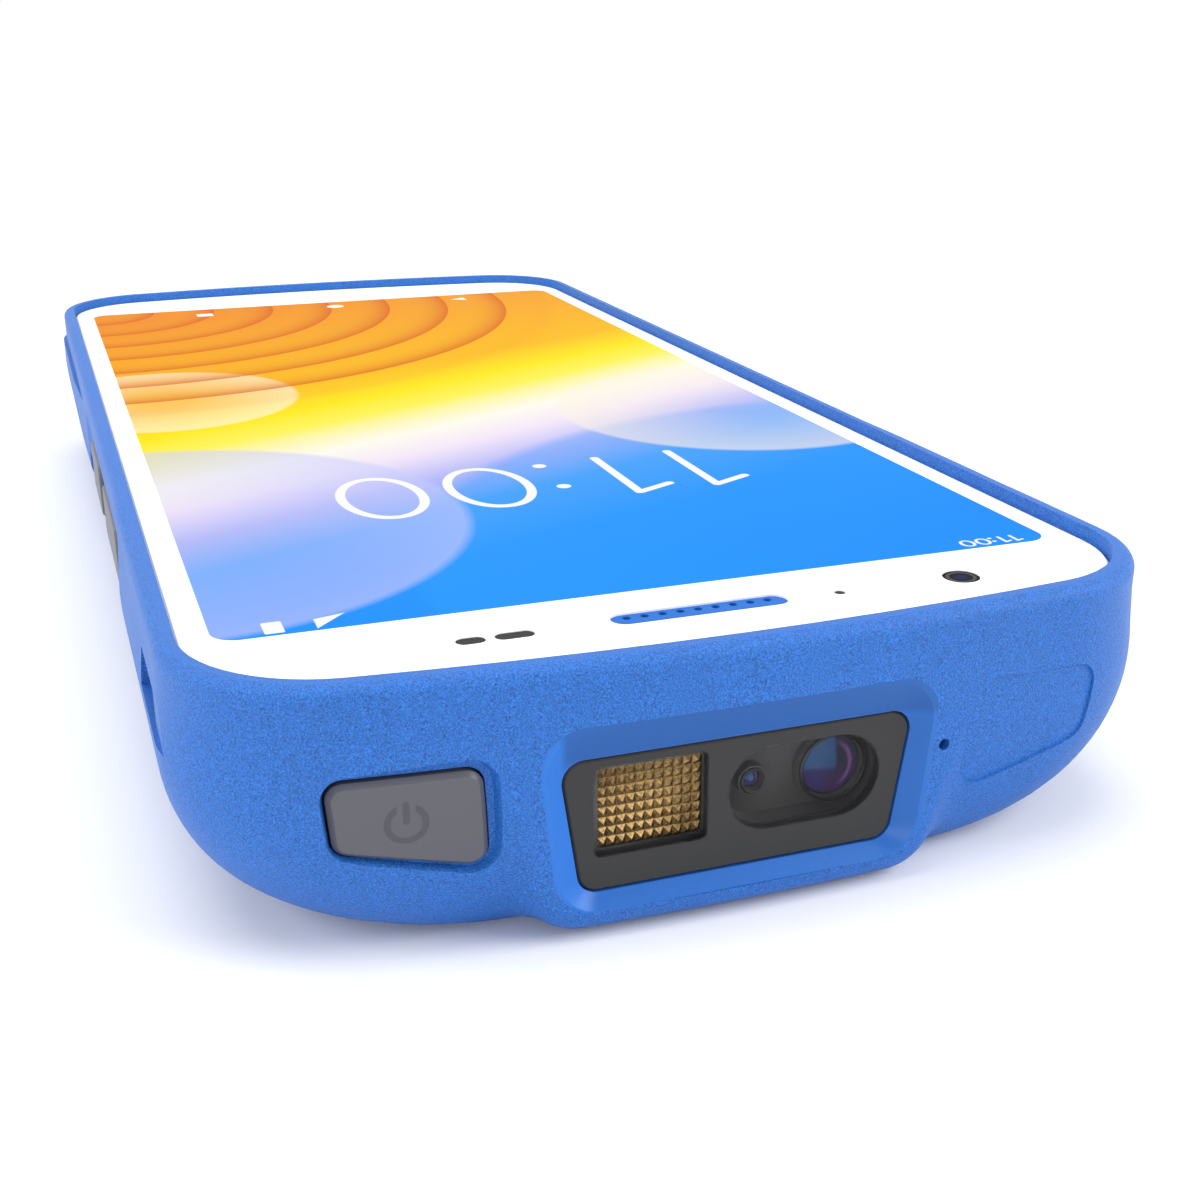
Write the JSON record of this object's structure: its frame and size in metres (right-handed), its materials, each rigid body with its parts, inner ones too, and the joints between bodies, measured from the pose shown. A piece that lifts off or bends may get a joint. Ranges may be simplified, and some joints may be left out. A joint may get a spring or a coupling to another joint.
{
  "type": "portable barcode data terminal",
  "caption": "Handheld barcode data terminal with a large touch screen, a scan window and a power key in one end, side keys and a latched battery in the back.",
  "frame": {"origin": "on the resting plane under the middle of the case, lying on its back", "axes": "+Z out of the screen, -Y out of the end with the scan window, +X to the left of someone who reads the screen with that end up"},
  "size_m": [0.0774, 0.165, 0.021],
  "materials": {
    "case": "fine matt texture",
    "cover": "matt",
    "key": "satin",
    "glass": "polished",
    "film": "gloss",
    "dark": "matt",
    "lens": "coated",
    "clear": "smoked",
    "gold": "faceted",
    "seal": "matt",
    "steel": "brushed",
    "frame": "cast",
    "board": "satin",
    "contact": "plated",
    "panel": "gloss",
    "battery": "matt",
    "flex": "satin"
  },
  "bodies": {
    "terminal": {"front_housing": "case", "rear_cover": "cover", "cover_seal": "seal", "housing_screws": "steel", "cover_glass": "glass", "bezel_film": "film", "glass_tape": "seal", "display_panel": "panel", "midframe": "frame", "earpiece_grille": "case", "earpiece_speaker": "dark", "proximity_windows": "dark", "indicator_lens": "dark", "front_camera_window": "dark", "front_camera": "dark", "scan_bezel": "case", "scan_window": "clear", "window_gasket": "seal", "scan_engine_body": "dark", "engine_face": "dark", "illumination_lens": "gold", "lens_barrels": "dark", "aiming_lens": "lens", "imaging_lens": "lens", "engine_bracket": "frame", "engine_screws": "steel", "power_switch": "dark", "right_key_switches": "steel", "left_key_switches": "steel", "key_flexes": "flex", "microphones": "dark", "main_board": "board", "board_shields": "steel", "rear_camera": "dark", "rear_camera_window": "dark", "flash_lens": "film", "io_board": "board", "board_screws": "steel", "usb_socket": "steel", "usb_tongue": "dark", "loudspeaker": "dark", "speaker_mesh": "dark", "interconnect_flex": "flex", "flex_connectors": "dark", "vibration_motor": "steel", "nfc_antenna": "contact", "radio_antennas": "contact", "battery_terminal": "dark", "battery_contacts": "contact", "charging_contacts": "contact"},
    "power_key": {"power_key": "key"},
    "volume_key": {"volume_key": "key"},
    "right_scan_key": {"right_scan_key": "key"},
    "left_scan_key": {"left_scan_key": "key"},
    "talk_key": {"talk_key": "key"},
    "battery": {"battery_cover": "cover", "battery_pack": "battery"},
    "battery_latch_left": {"battery_latch_left": "key"},
    "battery_latch_right": {"battery_latch_right": "key"}
  },
  "joints": [
    {"name": "power_key_press", "type": "slide", "parent": "terminal", "child": "power_key", "axis": [0, 1, 0], "range_m": [0, 0.0004], "stiffness_N_per_m": 1200, "springref_m": -0.0004},
    {"name": "volume_key_rock", "type": "hinge", "parent": "terminal", "child": "volume_key", "pos_m": [-0.0369, -0.018, 0.0135], "axis": [0, 0, 1], "range_deg": [-2, 2], "stiffness_Nm_per_rad": 0.15},
    {"name": "right_scan_key_press", "type": "slide", "parent": "terminal", "child": "right_scan_key", "axis": [1, 0, 0], "range_m": [0, 0.0004], "stiffness_N_per_m": 1200, "springref_m": -0.0004},
    {"name": "left_scan_key_press", "type": "slide", "parent": "terminal", "child": "left_scan_key", "axis": [-1, 0, 0], "range_m": [0, 0.0004], "stiffness_N_per_m": 1200, "springref_m": -0.0004},
    {"name": "talk_key_press", "type": "slide", "parent": "terminal", "child": "talk_key", "axis": [-1, 0, 0], "range_m": [0, 0.0004], "stiffness_N_per_m": 1200, "springref_m": -0.0004},
    {"name": "battery_lift", "type": "slide", "parent": "terminal", "child": "battery", "axis": [0, 0, -1], "range_m": [0, 0.012]},
    {"name": "battery_latch_left_slide", "type": "slide", "parent": "terminal", "child": "battery_latch_left", "axis": [0, -1, 0], "range_m": [0, 0.0016], "stiffness_N_per_m": 900, "springref_m": -0.001},
    {"name": "battery_latch_right_slide", "type": "slide", "parent": "terminal", "child": "battery_latch_right", "axis": [0, -1, 0], "range_m": [0, 0.0016], "stiffness_N_per_m": 900, "springref_m": -0.001}
  ]
}
